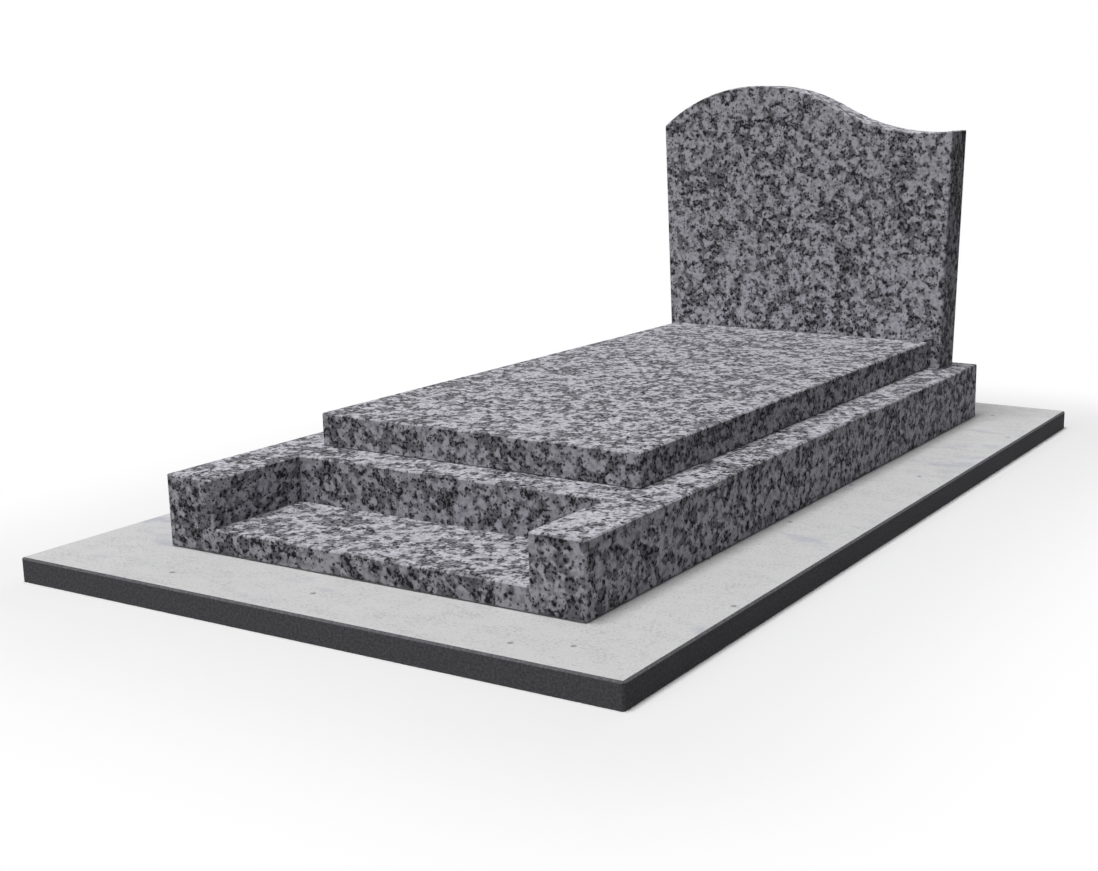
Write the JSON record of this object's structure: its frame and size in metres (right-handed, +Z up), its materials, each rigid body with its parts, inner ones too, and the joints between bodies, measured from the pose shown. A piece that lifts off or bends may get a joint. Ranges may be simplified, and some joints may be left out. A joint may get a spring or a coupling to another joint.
{
  "type": "granite tomb",
  "caption": "Granite tomb: flat slab on a kerb with an open planter recess at the foot, wave-topped headstone at the head, on a concrete base open over the grave.",
  "frame": {"origin": "centre of the base slab's underside, where the tomb rests on the ground", "axes": "+Z up, -Y towards the foot of the tomb (the planter recess), +Y towards the headstone, +X to the right as seen from the foot"},
  "size_m": [1.4, 2.4, 0.961],
  "materials": {
    "granite": "satin",
    "concrete": "matte",
    "mortar": "matte",
    "sealant": "satin",
    "stainless_steel": "satin"
  },
  "bodies": {
    "root": {"base_slab": "concrete", "left_rail_bed": "mortar", "right_rail_bed": "mortar", "front_crosspiece_bed": "mortar", "rear_crosspiece_bed": "mortar", "planter_floor_bed": "mortar", "left_rail": "granite", "right_rail": "granite", "front_crosspiece": "granite", "rear_crosspiece": "granite", "planter_floor": "granite", "front_left_bracket": "stainless_steel", "front_right_bracket": "stainless_steel", "rear_left_bracket": "stainless_steel", "rear_right_bracket": "stainless_steel", "slab_seal": "sealant", "tomb_slab": "granite", "back_seal": "sealant", "headstone_seal": "sealant", "left_dowel": "stainless_steel", "right_dowel": "stainless_steel", "headstone": "granite"}
  },
  "joints": []
}
